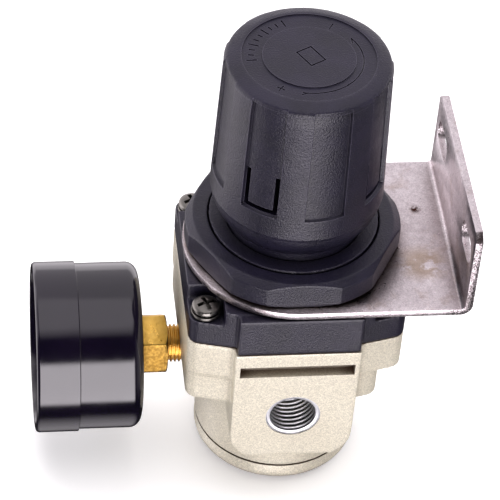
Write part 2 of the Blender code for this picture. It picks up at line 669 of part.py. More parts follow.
def gauge_movement(brass, steel):
    """Pinion on the pointer's arbor, sector gear, two plates and the pillars between them."""
    distance = GEAR_MODULE * (PINION_TEETH + SECTOR_TEETH) / 2 + 0.12
    half_pitch = Matrix.Rotation(math.pi / PINION_TEETH, 4, "Z")
    pinion = make("pinion_arbor", prism(gear_outline(PINION_TEETH, 0, PINION_TEETH - 1, []), 51.0, 52.6),
                  GAUGE @ half_pitch)
    join(pinion, make("shaft", rod(0.55, 47.0, 58.2, 10), GAUGE))
    finish(pinion, steel, gauge_origin())
    hub = arc(0, 0, 2.0, 80, 250, 8)
    pivot = Matrix.Translation((-distance, 0, 0))
    mirror = Matrix.Diagonal((1, -1, 1, 1))
    sector = prism(gear_outline(SECTOR_TEETH, -2, 8, hub), 51.1, 52.4)
    sector = make("sector_gear", sector, GAUGE @ pivot @ mirror)
    tail = block((0.5, -0.9, 51.1), (TAIL_LENGTH + 0.8, 0.9, 52.4))
    tail_turn = Matrix.Rotation(math.radians(TAIL_ANGLE), 4, "Z")
    join(sector, make("tail", tail, GAUGE @ pivot @ tail_turn),
         make("shaft", rod(0.6, 47.5, 54.6, 10), GAUGE @ pivot))
    finish(sector, brass, gauge_origin(-distance))
    for name, low, high in (("movement_back_plate", 46.3, 47.2), ("movement_front_plate", 53.6, 54.4)):
        outline = [(-14.6, -2.6), (3.0, -2.6), (3.0, -6.0), (6.0, -6.0), (6.0, 6.0), (3.0, 6.0),
                   (3.0, 2.6), (-14.6, 2.6)]
        plate = make(name, prism(outline, low, high), GAUGE)
        holes = [make("hole", rod(0.95, 40.0, 60.0, 8), GAUGE @ Matrix.Translation((x, 0, 0)))
                 for x in (0.0, -distance)]
        finish(cut(plate, *holes), brass)
    for number, side in enumerate((-PILLAR_SIDE, PILLAR_SIDE), 1):
        place = GAUGE @ Matrix.Translation((PILLAR_UP, side, 0))
        finish(make(f"movement_pillar_{number}", rod(1.1, 47.5, 53.3, 10), place), brass)
    joint = (pivot @ tail_turn).to_translation() + (pivot @ tail_turn).to_3x3() @ Vector((TAIL_LENGTH, 0, 0))
    reach = tip_place().to_translation() - joint
    link = block((-0.9, -0.8, 52.7), (reach.length + 0.9, 0.8, 53.3))
    link_turn = Matrix.Translation(joint) @ Matrix.Rotation(math.atan2(reach.y, reach.x), 4, "Z")
    finish(make("tip_link", link, GAUGE @ link_turn), steel, gauge_origin(joint.x, joint.y))


def bourdon_tube(brass):
    """Flattened tube, bent from the socket's foot round most of a circle, with a post at its tip."""
    rings = []
    for step in range(29):
        angle = math.radians(180.0 - (180.0 - TIP_ANGLE) * step / 28)
        ring = []
        for radial, height in ((-0.8, 40.8), (-0.8, 44.0), (0.8, 44.0), (0.8, 40.8)):
            radius = BOURDON_R + radial
            ring.append((radius * math.cos(angle), radius * math.sin(angle), height))
        rings.append(ring)
    spring = make("bourdon_tube", loft(rings), GAUGE)
    post = rod(0.6, 43.0, 52.4, 10)
    return finish(join(spring, make("post", post, GAUGE @ tip_place())), brass)


def gauge_pointer(black):
    outline = [(13.2, 0.25), (13.2, -0.25), (2.0, -0.75)] + arc(0, 0, 1.9, -40, -140, 5)
    outline += [(-5.2, -0.9), (-5.2, 0.9)] + arc(0, 0, 1.9, 140, 40, 5) + [(2.0, 0.75)]
    pointer = make("gauge_pointer", prism(outline, 57.0, 57.5),
                   GAUGE @ Matrix.Rotation(math.radians(135), 4, "Z"))
    hole = make("hole", rod(0.85, 50.0, 60.0, 12), GAUGE)
    return finish(cut(pointer, hole), black, gauge_origin())


def build_gauge():
    brass = material("gauge_brass", (0.83, 0.6, 0.22), 0.25, 1.0)
    inner_brass = material("movement_brass", (0.78, 0.6, 0.28), 0.3, 1.0)
    steel = material("arbor_steel", (0.6, 0.6, 0.62), 0.25, 1.0)
    black = material("case_black", (0.015, 0.015, 0.02), 0.15)
    ring_black = material("ring_black", (0.015, 0.015, 0.018), 0.2)
    glass = material("window_clear", (0.9, 0.92, 0.92), 0.05)
    white = material("dial_white", (0.85, 0.85, 0.83), 0.5)
    pointer_black = material("pointer_black", (0.02, 0.02, 0.02), 0.4)
    gauge_socket(brass)
    gauge_shell(black, ring_black, glass, white)
    bourdon_tube(inner_brass)
    gauge_movement(inner_brass, steel)
    gauge_pointer(pointer_black)
    head = [(0, 54.7), (0.6, 54.7), (0.6, 56.5), (1.3, 56.5), (1.1, 56.7), (0, 56.7)]
    for number, side in enumerate((-PILLAR_SIDE, PILLAR_SIDE), 1):
        place = GAUGE @ Matrix.Translation((PILLAR_UP, side, 0))
        finish(make(f"dial_screw_{number}", turned(head, 10), place), steel)


clear_scene()
build_housing()
build_setting()
build_valve()
build_gauge()
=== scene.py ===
"""Looks of the relieving air pressure regulator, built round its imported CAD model.

Frame: +Z runs up the knob's axis, the gauge points to -X and the bracket's wall face
looks to +X. Shapes are drawn in millimetres and stored in metres.
"""

import json
import math

import bmesh
import bpy
from mathutils import Matrix, Vector


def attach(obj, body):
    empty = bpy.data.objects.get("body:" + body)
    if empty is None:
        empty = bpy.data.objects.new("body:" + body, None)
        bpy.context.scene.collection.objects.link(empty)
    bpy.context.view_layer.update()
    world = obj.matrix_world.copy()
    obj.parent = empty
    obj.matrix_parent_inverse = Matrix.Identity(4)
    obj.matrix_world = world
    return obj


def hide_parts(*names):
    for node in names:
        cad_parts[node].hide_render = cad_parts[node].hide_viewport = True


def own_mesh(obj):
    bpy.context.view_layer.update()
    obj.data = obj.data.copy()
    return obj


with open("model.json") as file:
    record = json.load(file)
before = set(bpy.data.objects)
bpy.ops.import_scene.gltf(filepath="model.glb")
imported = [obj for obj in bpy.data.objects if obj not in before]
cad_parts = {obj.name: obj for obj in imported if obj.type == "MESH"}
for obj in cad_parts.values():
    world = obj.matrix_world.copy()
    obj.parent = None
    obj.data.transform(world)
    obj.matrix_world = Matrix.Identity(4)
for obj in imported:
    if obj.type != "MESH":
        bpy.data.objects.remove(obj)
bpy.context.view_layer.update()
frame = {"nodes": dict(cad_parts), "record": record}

MM = 0.001
FINE, ROUND, SMALL = 144, 96, 48     # flats that stand for a circle, by its size
PORT_Z = 30.9
BODY_TOP = 52.55
PORT_FACE_Y = 26.5
SCREW_X, SCREW_Y = 22.4, 18.2
POCKET_FLOOR = 59.8
NECK_R = 20.6
PLATE_TOP = 66.5
SHEET = 1.8
KNOB_TOP = 123.6
KNOB_PHASE = -102.0                  # degrees, middle of the band that faces the front
BAND_PITCH = 45.0
BAND_HALF = 9.1
DIAL_FACE = 56.2                     # distance from the knob's axis towards -X
EDGE_WIDTH = 0.2                     # how far the lighter edge tone, part wear and part painted highlight, reaches from an edge
FRONT_CARD = 5.3                     # brightness of the low light card
DIM_SKY = 0.025                      # light from every direction that has no patch
OPEN_LOW = (-2.0, -1.5)              # bands past the ends of an axis, so no limit on that side
OPEN_HIGH = (1.5, 2.0)


# ---------------------------------------------------------------- mesh helpers

def to_object(name, bm, matrix=None):
    """Turn a mesh drawn in millimetres into an object in metres."""
    if matrix is not None:
        bmesh.ops.transform(bm, matrix=matrix, verts=bm.verts)
    bmesh.ops.scale(bm, vec=(MM, MM, MM), verts=bm.verts)
    bmesh.ops.recalc_face_normals(bm, faces=bm.faces)
    mesh = bpy.data.meshes.new(name)
    bm.to_mesh(mesh)
    bm.free()
    item = bpy.data.objects.new(name, mesh)
    bpy.context.scene.collection.objects.link(item)
    return item


def settle(item):
    """Apply the object's modifiers to its mesh."""
    graph = bpy.context.evaluated_depsgraph_get()
    mesh = bpy.data.meshes.new_from_object(item.evaluated_get(graph))
    item.modifiers.clear()
    item.data = mesh
    return item


def combine(item, others, operation):
    """Cut or join the other objects into this one, and drop them."""
    for other in others:
        modifier = item.modifiers.new("shape", "BOOLEAN")
        modifier.operation = operation
        modifier.solver = "MANIFOLD"
        modifier.object = other
        settle(item)
        bpy.data.objects.remove(other, do_unlink=True)
    return item


def cut(item, *cutters):
    return combine(item, cutters, "DIFFERENCE")


def join(item, *pieces):
    return combine(item, pieces, "UNION")


def moulded(item, pieces, voxel, rounds):
    """Melt closed pieces into one skin with softly rounded edges, as a casting or moulding has."""
    bm = bmesh.new()
    for part in [item] + pieces:
        bm.from_mesh(part.data)
    bm.to_mesh(item.data)
    bm.free()
    for part in pieces:
        bpy.data.objects.remove(part, do_unlink=True)
    skin = item.modifiers.new("skin", "REMESH")
    skin.mode = "VOXEL"
    skin.voxel_size = voxel * MM
    smooth = item.modifiers.new("smooth", "SMOOTH")
    smooth.factor = 0.5
    smooth.iterations = rounds
    return settle(item)


def bevelled(item, width, segments=2, angle=35.0):
    modifier = item.modifiers.new("edge", "BEVEL")
    modifier.width = width * MM
    modifier.segments = segments
    modifier.limit_method = "ANGLE"
    modifier.angle_limit = math.radians(angle)
    return settle(item)


def arc(centre_x, centre_y, radius, start, end, steps):
    """Points along an arc, with angles in degrees."""
    points = []
    for step in range(steps + 1):
        angle = math.radians(start + (end - start) * step / steps)
        points.append((centre_x + radius * math.cos(angle), centre_y + radius * math.sin(angle)))
    return points


def softened(outline, reach=0.25, steps=3):
    """Round every corner of a closed outline, apart from corners that lie on the axis."""
    points = []
    count = len(outline)
    for index, corner in enumerate(outline):
        here = Vector(corner)
        before = Vector(outline[index - 1]) - here
        after = Vector(outline[(index + 1) % count]) - here
        if abs(here.x) < 1e-6:
            points.append(corner)
            continue
        near = min(reach, before.length * 0.45, after.length * 0.45)
        first = here + before.normalized() * near
        last = here + after.normalized() * near
        for step in range(steps + 1):
            share = step / steps
            spot = first * (1 - share) ** 2 + here * 2 * share * (1 - share) + last * share ** 2
            points.append((spot.x, spot.y))
    return points


def turned(profile, steps=ROUND, start=0.0):
    """Spin a closed profile of (radius, height) points round the Z axis."""
    bm = bmesh.new()
    side = (math.cos(math.radians(start)), math.sin(math.radians(start)))
    verts = [bm.verts.new((radius * side[0], radius * side[1], height)) for radius, height in profile]
    for first, second in zip(verts, verts[1:] + verts[:1]):
        if first.co.xy.length > 1e-6 or second.co.xy.length > 1e-6:
            bm.edges.new((first, second))
    bmesh.ops.spin(bm, geom=list(bm.verts) + list(bm.edges), cent=(0, 0, 0), axis=(0, 0, 1),
                   angle=math.tau, steps=steps, use_duplicate=False)
    bmesh.ops.remove_doubles(bm, verts=bm.verts, dist=1e-4)
    return bm


def rod(radius, low, high, steps=SMALL):
    return turned([(0, low), (0, high), (radius, high), (radius, low)], steps)


def tube(outer, inner, low, high, steps=ROUND, reach=0.15):
    profile = [(outer, high), (outer, low), (inner, low), (inner, high)]
    return turned(softened(profile, reach), steps)


def prism(outline, low, high):
    """Extrude a closed outline of (x, y) points from one height to another."""
    bm = bmesh.new()
    face = bm.faces.new([bm.verts.new((x, y, low)) for x, y in outline])
    grown = bmesh.ops.extrude_face_region(bm, geom=[face])
    top = [part for part in grown["geom"] if isinstance(part, bmesh.types.BMVert)]
    bmesh.ops.translate(bm, vec=(0, 0, high - low), verts=top)
    return bm


def block(low, high):
    outline = [(low[0], low[1]), (high[0], low[1]), (high[0], high[1]), (low[0], high[1])]
    return prism(outline, low[2], high[2])


def loft(rings):
    """Skin over a row of equal point loops, capped at both ends."""
    bm = bmesh.new()
    loops = [[bm.verts.new(point) for point in ring] for ring in rings]
    for lower, upper in zip(loops, loops[1:]):
        for index in range(len(lower)):
            following = (index + 1) % len(lower)
            bm.faces.new((lower[index], lower[following], upper[following], upper[index]))
    bm.faces.new(loops[0])
    bm.faces.new(loops[-1])
    return bm


def threaded(mean, depth, pitch, low, high, plain, steps=SMALL):
    """A wall with V-shaped thread turns on one face and a plain face at another radius."""
    turns = int((high - low) / pitch)
    profile = [(mean, low)]
    for turn in range(turns):
        start = low + (turn + 0.1) * pitch
        profile += [(mean - depth / 2, start), (mean - depth / 2, start + 0.12 * pitch),
                    (mean + depth / 2, start + 0.45 * pitch), (mean + depth / 2, start + 0.57 * pitch),
                    (mean - depth / 2, start + 0.9 * pitch)]
    profile += [(mean, high), (plain, high), (plain, low)]
    return turned(profile, steps)


def coil(radius, wire, low, high, turns, steps=36, sides=14):
    """A compression spring whose end turns lie flat."""
    count = int(turns * steps)
    ends = 0.75
    path = []
    for step in range(count + 1):
        turn = step / steps
        rise = min(max((turn - ends) / (turns - 2 * ends), 0.0), 1.0)
        slope = wire * 1.04 * (min(turn, ends) + min(turns - turn, ends) * -1 + ends) / (2 * ends)
        height = low + wire / 2 + slope + rise * (high - low - wire - wire * 1.04)
        path.append(Vector((radius * math.cos(math.tau * turn), radius * math.sin(math.tau * turn), height)))
    rings = []
    for index, point in enumerate(path):
        ahead = (path[min(index + 1, count)] - path[max(index - 1, 0)]).normalized()
        out = Vector((point.x, point.y, 0.0)).normalized()
        side = ahead.cross(out)
        rings.append([point + (out * math.cos(math.tau * step / sides)
                               + side * math.sin(math.tau * step / sides)) * wire / 2
                      for step in range(sides)])
    return loft(rings)


LYING_X = Matrix.Rotation(math.radians(90), 4, "Y")
LYING_Y = Matrix.Rotation(math.radians(-90), 4, "X")
FACING_X = Matrix.Rotation(math.radians(90), 4, "Z") @ Matrix.Rotation(math.radians(90), 4, "X")
GAUGE = Matrix.Translation((0, 0, PORT_Z)) @ Matrix.Rotation(math.radians(-90), 4, "Y")
HALF_TURN = Matrix.Rotation(math.pi, 4, "Z")


def along_x(sign=1):
    place = Matrix.Translation((0, 0, PORT_Z)) @ LYING_X
    return place if sign > 0 else HALF_TURN @ place


def along_y(sign=1, height=PORT_Z):
    place = Matrix.Translation((0, 0, height)) @ LYING_Y
    return place if sign > 0 else HALF_TURN @ place


# ---------------------------------------------------------------- materials

def node(tree, kind, **values):
    made = tree.nodes.new(kind)
    for name, value in values.items():
        if name in made.inputs:
            made.inputs[name].default_value = value
        else:
            setattr(made, name, value)
    return made


def noise(tree, scale, detail=3.0, roughness=0.5):
    """Noise in the object's own space; scale is in features per metre."""
    place = node(tree, "ShaderNodeTexCoord")
    made = node(tree, "ShaderNodeTexNoise", Scale=scale, Detail=detail, Roughness=roughness)
    tree.links.new(place.outputs["Object"], made.inputs["Vector"])
    return made.outputs["Fac"]


def ramp(tree, source, low, high, first, last):
    """Map a value between two limits to another range."""
    made = node(tree, "ShaderNodeMapRange")
    for slot, value in zip(("From Min", "From Max", "To Min", "To Max"), (low, high, first, last)):
        made.inputs[slot].default_value = value
    tree.links.new(source, made.inputs["Value"])
    return made.outputs["Result"]


def mix(tree, share, first, second):
    """Blend two colours, each a value or the output of a node."""
    made = tree.nodes.new("ShaderNodeMix")
    made.data_type = "RGBA"
    tree.links.new(share, made.inputs["Factor"])
    for slot, colour in ((6, first), (7, second)):
        if isinstance(colour, tuple):
            made.inputs[slot].default_value = (*colour, 1.0)
        else:
            tree.links.new(colour, made.inputs[slot])
    return made.outputs[2]


def arithmetic(tree, operation, first, second):
    """Join two values; the second may be a plain number."""
    made = node(tree, "ShaderNodeMath", operation=operation)
    tree.links.new(first, made.inputs[0])
    if isinstance(second, float):
        made.inputs[1].default_value = second
    else:
        tree.links.new(second, made.inputs[1])
    return made.outputs["Value"]


def edge_likeness(tree, width):
    """One on flat ground, less within the width of an edge."""
    rounded = node(tree, "ShaderNodeBevel", samples=6, Radius=width * MM)
    plain = node(tree, "ShaderNodeNewGeometry")
    both = node(tree, "ShaderNodeVectorMath", operation="DOT_PRODUCT")
    tree.links.new(rounded.outputs["Normal"], both.inputs[0])
    tree.links.new(plain.outputs["Normal"], both.inputs[1])
    return both.outputs["Value"]


def surface(name, light, dark, roughness, metallic=0.0, grain=(2500.0, 0.1, 0.05), patch=150.0,
            edge_wear_and_highlight=None, recess_shade_and_dirt=None, specular=0.5):
    """A finish with two tones, patchy gloss, fine relief and, if asked, edges lightened to a third tone that
    is part wear and part painted highlight.
    """
    made = bpy.data.materials.new(name)
    made.use_nodes = True
    tree = made.node_tree
    shader = tree.nodes["Principled BSDF"]
    shader.inputs["Metallic"].default_value = metallic
    shader.inputs["Specular IOR Level"].default_value = specular
    colour = mix(tree, ramp(tree, noise(tree, patch, 5.0, 0.6), 0.35, 0.65, 0.0, 1.0), light, dark)
    # Lighter tone along edges: part wear, part painted highlight standing in for light caught by the edges.
    if edge_wear_and_highlight is not None:
        edges = ramp(tree, edge_likeness(tree, EDGE_WIDTH), 0.9, 0.995, 0.7, 0.0)
        colour = mix(tree, edges, colour, edge_wear_and_highlight)
    # Painted shade: ambient occlusion darkens hollows, corners and places under other parts toward a given
    # colour, which carries a dirt tint.
    if recess_shade_and_dirt is not None:
        shade = node(tree, "ShaderNodeAmbientOcclusion", samples=8, Distance=recess_shade_and_dirt[1] * MM)
        colour = mix(tree, ramp(tree, shade.outputs["AO"], 0.3, 0.85, 0.0, 1.0), recess_shade_and_dirt[0], colour)
    tree.links.new(colour, shader.inputs["Base Color"])
    gloss = ramp(tree, noise(tree, patch * 2.7, 4.0), 0.3, 0.7, roughness[0], roughness[1])
    tree.links.new(gloss, shader.inputs["Roughness"])
    scale, strength, depth = grain
    bump = node(tree, "ShaderNodeBump", Strength=strength, Distance=depth * MM)
    tree.links.new(noise(tree, scale, 2.0, 0.6), bump.inputs["Height"])
    tree.links.new(bump.outputs["Normal"], shader.inputs["Normal"])
    return made


def add_sparkle(made, scale, strength):
    """Flakes in a metallic paint: small cells, each a little lighter or darker."""
    tree = made.node_tree
    shader = tree.nodes["Principled BSDF"]
    base = shader.inputs["Base Color"].links[0].from_socket
    place = node(tree, "ShaderNodeTexCoord")
    cells = node(tree, "ShaderNodeTexVoronoi", Scale=scale)
    tree.links.new(place.outputs["Object"], cells.inputs["Vector"])
    tone = node(tree, "ShaderNodeSeparateColor")
    tree.links.new(cells.outputs["Color"], tone.inputs["Color"])
    level = ramp(tree, tone.outputs["Red"], 0.0, 1.0, 1.0 - strength, 1.0 + strength)
    scaled = node(tree, "ShaderNodeVectorMath", operation="SCALE")
    tree.links.new(base, scaled.inputs[0])
    tree.links.new(level, scaled.inputs["Scale"])
    tree.links.new(scaled.outputs["Vector"], shader.inputs["Base Color"])
    return made


def add_stains(made, colour, scale, low, high, amount):
    """Spots of another colour where a noise runs high."""
    tree = made.node_tree
    shader = tree.nodes["Principled BSDF"]
    base = shader.inputs["Base Color"].links[0].from_socket
    share = ramp(tree, noise(tree, scale, 6.0, 0.65), low, high, 0.0, amount)
    tree.links.new(mix(tree, share, base, colour), shader.inputs["Base Color"])
    return made


def add_spot(made, place, radius, colour, amount):
    """One stain round a place given in millimetres, broken up by a noise."""
    tree = made.node_tree
    shader = tree.nodes["Principled BSDF"]
    base = shader.inputs["Base Color"].links[0].from_socket
    here = node(tree, "ShaderNodeTexCoord")
    away = node(tree, "ShaderNodeVectorMath", operation="DISTANCE")
    tree.links.new(here.outputs["Object"], away.inputs[0])
    away.inputs[1].default_value = [value * MM for value in place]
    near = ramp(tree, away.outputs["Value"], radius * 0.4 * MM, radius * MM, amount, 0.0)
    broken = ramp(tree, noise(tree, 1.6 / (radius * MM), 4.0, 0.7), 0.4, 0.5, 0.0, 1.0)
    tree.links.new(mix(tree, arithmetic(tree, "MULTIPLY", near, broken), base, colour),
                   shader.inputs["Base Color"])
    return made


def add_shade_on_lower_faces(made, colour, low_x, high_x):
    """Painted shade: a brown darkening on faces that look sideways or down, over part of a piece that lies
    along X.
    """
    tree = made.node_tree
    shader = tree.nodes["Principled BSDF"]
    base = shader.inputs["Base Color"].links[0].from_socket
    here = node(tree, "ShaderNodeTexCoord")
    facing = node(tree, "ShaderNodeSeparateXYZ")
    tree.links.new(here.outputs["Normal"], facing.inputs["Vector"])
    place = node(tree, "ShaderNodeSeparateXYZ")
    tree.links.new(here.outputs["Object"], place.inputs["Vector"])
    within = ramp(tree, place.outputs["X"], low_x * MM, high_x * MM, 0.95, 0.0)
    share = arithmetic(tree, "MULTIPLY", within, ramp(tree, facing.outputs["Z"], 0.35, 0.9, 1.0, 0.0))
    share = arithmetic(tree, "MULTIPLY", share, ramp(tree, noise(tree, 1400.0, 3.0), 0.3, 0.6, 0.86, 1.0))
    tree.links.new(mix(tree, share, base, colour), shader.inputs["Base Color"])
    return made


def add_cut_edges(made, colour, start_x):
    """Sheared edges of a sheet, where the surface looks along Y: torn and speckled past a given X."""
    tree = made.node_tree
    shader = tree.nodes["Principled BSDF"]
    base = shader.inputs["Base Color"].links[0].from_socket
    here = node(tree, "ShaderNodeTexCoord")
    axes = node(tree, "ShaderNodeSeparateXYZ")
    tree.links.new(here.outputs["Normal"], axes.inputs["Vector"])
    across = arithmetic(tree, "MULTIPLY", axes.outputs["Y"], axes.outputs["Y"])
    torn = ramp(tree, noise(tree, 2600.0, 3.0, 0.6), 0.4, 0.56, 0.25, 0.95)
    share = arithmetic(tree, "MULTIPLY", ramp(tree, across, 0.25, 0.6, 0.0, 1.0), torn)
    place = node(tree, "ShaderNodeSeparateXYZ")
    tree.links.new(here.outputs["Object"], place.inputs["Vector"])
    bent = ramp(tree, place.outputs["X"], start_x * MM, (start_x + 3.0) * MM, 0.3, 1.0)
    share = arithmetic(tree, "MULTIPLY", share, bent)
    tree.links.new(mix(tree, share, base, colour), shader.inputs["Base Color"])
    return made


def window_material():
    """Clear moulded plastic with faint ripples."""
    made = surface("clear_window", (0.96, 0.98, 0.98), (0.93, 0.96, 0.96), (0.02, 0.06),
                   grain=(160.0, 0.03, 0.05))
    shader = made.node_tree.nodes["Principled BSDF"]
    shader.inputs["Transmission Weight"].default_value = 1.0
    shader.inputs["IOR"].default_value = 1.35
    return made


def make_materials():
    # A colour given with a distance is painted shade in hollows and corners, tinted toward that colour.
    paint = surface("body_paint", (0.64, 0.6, 0.485), (0.595, 0.552, 0.44), (0.36, 0.5), 0.25,
                    (1900.0, 0.4, 0.07), 60.0, edge_wear_and_highlight=(0.8, 0.76, 0.66), recess_shade_and_dirt=((0.1, 0.06, 0.035), 4.0))
    add_sparkle(paint, 5000.0, 0.24)
    plastic = surface("charcoal_plastic", (0.012, 0.01, 0.024), (0.008, 0.007, 0.016), (0.3, 0.4),
                      grain=(2500.0, 1.0, 0.13), patch=120.0, edge_wear_and_highlight=(0.11, 0.1, 0.145),
                      recess_shade_and_dirt=((0.001, 0.001, 0.002), 2.2), specular=0.52)
    nickel = surface("nickel_sheet", (0.9, 0.83, 0.85), (0.74, 0.67, 0.69), (0.26, 0.42), 1.0,
                     (2300.0, 0.7, 0.09), 420.0, edge_wear_and_highlight=(0.9, 0.87, 0.88), recess_shade_and_dirt=((0.15, 0.1, 0.09), 11.0))
    add_sparkle(nickel, 3200.0, 0.14)
    add_stains(nickel, (0.34, 0.22, 0.14), 150.0, 0.54, 0.72, 0.45)
    add_stains(nickel, (0.09, 0.05, 0.035), 900.0, 0.68, 0.72, 0.9)
    add_spot(nickel, (32.1, 9.0, 66.5), 1.7, (0.05, 0.015, 0.01), 1.0)
    add_spot(nickel, (31.0, -10.5, 66.5), 7.5, (0.36, 0.24, 0.12), 0.6)
    add_spot(nickel, (40.2, -26.6, 90.0), 2.6, (0.08, 0.02, 0.012), 1.0)
    add_cut_edges(nickel, (0.05, 0.04, 0.04), 33.0)
    brass = surface("gauge_brass", (0.9, 0.58, 0.14), (0.78, 0.47, 0.09), (0.25, 0.4), 1.0,
                    (1300.0, 0.8, 0.12), 260.0, edge_wear_and_highlight=(0.95, 0.72, 0.3), recess_shade_and_dirt=((0.3, 0.14, 0.03), 0.6))
    # Painted shade on the gauge hexagon's sideways and lower facets.
    add_shade_on_lower_faces(brass, (0.11, 0.06, 0.012), -29.4, -28.9)
    return {
        "body_paint": paint,
        "charcoal_plastic": plastic,
        "nickel_sheet": nickel,
        "dark_zinc": surface("dark_zinc", (0.3, 0.29, 0.265), (0.2, 0.19, 0.175), (0.25, 0.42), 1.0,
                             (1800.0, 0.25, 0.05), 300.0, recess_shade_and_dirt=((0.03, 0.027, 0.025), 1.2)),
        "gauge_brass": brass,
        "movement_brass": surface("movement_brass", (0.8, 0.6, 0.27), (0.7, 0.5, 0.2), (0.25, 0.4), 1.0,
                                  (2200.0, 0.15, 0.03), 220.0),
        "steel": surface("steel", (0.6, 0.6, 0.6), (0.48, 0.48, 0.49), (0.22, 0.38), 1.0,
                         (2600.0, 0.15, 0.03), 260.0),
        "spring_steel": surface("spring_steel", (0.33, 0.33, 0.34), (0.24, 0.24, 0.25), (0.3, 0.45), 1.0,
                                (2400.0, 0.2, 0.03), 240.0),
        "alloy": surface("alloy", (0.75, 0.76, 0.78), (0.65, 0.66, 0.68), (0.3, 0.45), 1.0,
                         (2000.0, 0.15, 0.03), 200.0, recess_shade_and_dirt=((0.05, 0.045, 0.045), 2.0)),
        "rubber": surface("rubber", (0.035, 0.035, 0.035), (0.022, 0.022, 0.023), (0.6, 0.75),
                          grain=(1800.0, 0.3, 0.05)),
        "gauge_black": surface("gauge_black", (0.002, 0.001, 0.006), (0.004, 0.002, 0.009), (0.1, 0.17),
                               grain=(420.0, 0.08, 0.05), patch=60.0, specular=0.85),
        "dial_white": surface("dial_white", (0.86, 0.86, 0.84), (0.8, 0.8, 0.77), (0.45, 0.6),
                              grain=(1500.0, 0.08, 0.02), patch=80.0),
        "pointer_black": surface("pointer_black", (0.02, 0.02, 0.022), (0.03, 0.03, 0.03), (0.4, 0.55),
                                 grain=(2500.0, 0.15, 0.02)),
        "clear_window": window_material(),
    }


MATERIALS = make_materials()


def piece(item, slot, body, *nodes, smooth=35.0):
    """Give a finished shape its shading, finish and body, and hide the CAD nodes it stands for."""
    item.data.materials.clear()
    item.data.materials.append(MATERIALS[slot])
    item.data.shade_smooth()
    item.data.set_sharp_from_angle(angle=math.radians(smooth))
    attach(item, body)
    if nodes:
        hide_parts(*nodes)
    return item


# ---------------------------------------------------------------- casting and its fittings

def plan_outline(left, right, inset=0.0, corner=3.0):
    """The body seen from above: slanted ends with rounded corners either side of the port block."""
    slope = 0.24
    block_half = 15.5
    normal = math.degrees(math.atan2(1.0, slope))
    points = []
    for sign_x, sign_y in ((1, 1), (-1, 1), (-1, -1), (1, -1)):
        side = right if sign_x > 0 else left
        centre_x = side - corner
        start_y = 23.8 - inset
        centre_y = start_y - slope * (centre_x - block_half) - corner * math.hypot(1.0, slope)
        run = [(block_half, start_y)] + arc(centre_x, centre_y, corner, normal, 0.0, 12)
        run = [(sign_x * x, sign_y * y) for x, y in run]
        points += reversed(run) if sign_x * sign_y > 0 else run
    return points


def screw_places():
    return [(x, y) for y in (-SCREW_Y, SCREW_Y) for x in (-SCREW_X, SCREW_X)]


def port_block():
    half = [(11.0, 16.8), (12.6, 18.0), (13.6, 19.5), (14.6, 21.0), (15.1, 22.5), (15.5, BODY_TOP)]
    outline = [(-x, z) for x, z in half] + [(x, z) for x, z in reversed(half)]
    turn = Matrix.Rotation(math.radians(90), 4, "X")
    return to_object("port_block", prism(outline, -PORT_FACE_Y, PORT_FACE_Y), turn)


def body_casting():
    """Die casting: barrel, screw flange, port block and gauge bosses melted together, then machined."""
    barrel = [(0, 6.2), (20.8, 6.2), (20.8, 45.0), (0, 45.0)]
    casting = to_object("body_casting", turned(softened(barrel, 0.6), FINE))
    parts = [to_object("flange", prism(plan_outline(26.5, 26.5), 42.0, BODY_TOP)),
             to_object("step", prism(plan_outline(26.2, 21.2, 0.6), 33.0, 43.0)),
             port_block()]
    for sign in (-1, 1):
        parts.append(to_object("boss", turned(softened([(0, 12), (8.2, 12), (8.2, 24.6), (0, 24.6)])),
                               along_x(sign)))
    moulded(casting, parts, 0.42, 5)
    space = [(0, 4.0), (0, 54.0), (19.0, 54.0), (19.0, 50.6), (16.0, 50.6), (16.0, 46.0), (9.0, 44.0),
             (9.0, 30.5), (5.0, 30.5), (5.0, 26.2), (6.2, 26.2), (6.6, 27.0), (11.0, 27.0), (11.0, 4.0)]
    cutters = [to_object("space", turned(space, ROUND, 2.0))]
    for x, y in screw_places():
        cutters.append(to_object("screw_hole", rod(1.9, 38.0, 54.0), Matrix.Translation((x, y, 0))))
    for sign in (-1, 1):
        groove = block((-14.1, 23.8, 45.0), (14.1, 28.0, 48.5))
        cutters.append(to_object("groove", groove, HALF_TURN if sign < 0 else None))
        mouth = [(0, 13.5), (0, 28), (6.8, 28), (6.8, 25.9), (6.72, 25.7), (6.72, 13.5)]
        cutters.append(to_object("port", turned(mouth, ROUND, 1.0), along_y(sign)))
        drilled = [(0, 7.6), (0, 28.0), (4.95, 28.0), (4.95, 14.5), (1.4, 14.5), (1.4, 7.6)]
        cutters.append(to_object("gauge_port", turned(drilled, SMALL, 3.0), along_x(sign)))
    cutters.append(to_object("inlet", rod(2.4, -15.0, -9.0), along_y(1, 24.4)))
    cutters.append(to_object("outlet", rod(3.2, 7.0, 15.0), along_y(1, 34.6)))
    cut(casting, *cutters)
    piece(casting, "body_paint", "housing", "regulator_body")


def port_threads():
    """Bare metal G1/4 threads with a machined lead-in, seven turns in sight."""
    for name, sign in (("inlet_thread", -1), ("outlet_thread", 1)):
        wall = to_object(name, threaded(6.15, 0.8, 1.337, 14.0, 26.1, 6.7, 64), along_y(sign))
        lead = [(6.35, 25.8), (6.62, 26.3), (6.78, 26.3), (6.78, 25.92), (6.66, 25.75), (6.4, 25.7)]
        join(wall, to_object("lead", turned(lead, 64), along_y(sign)))
        piece(wall, "alloy", "housing", smooth=50.0)


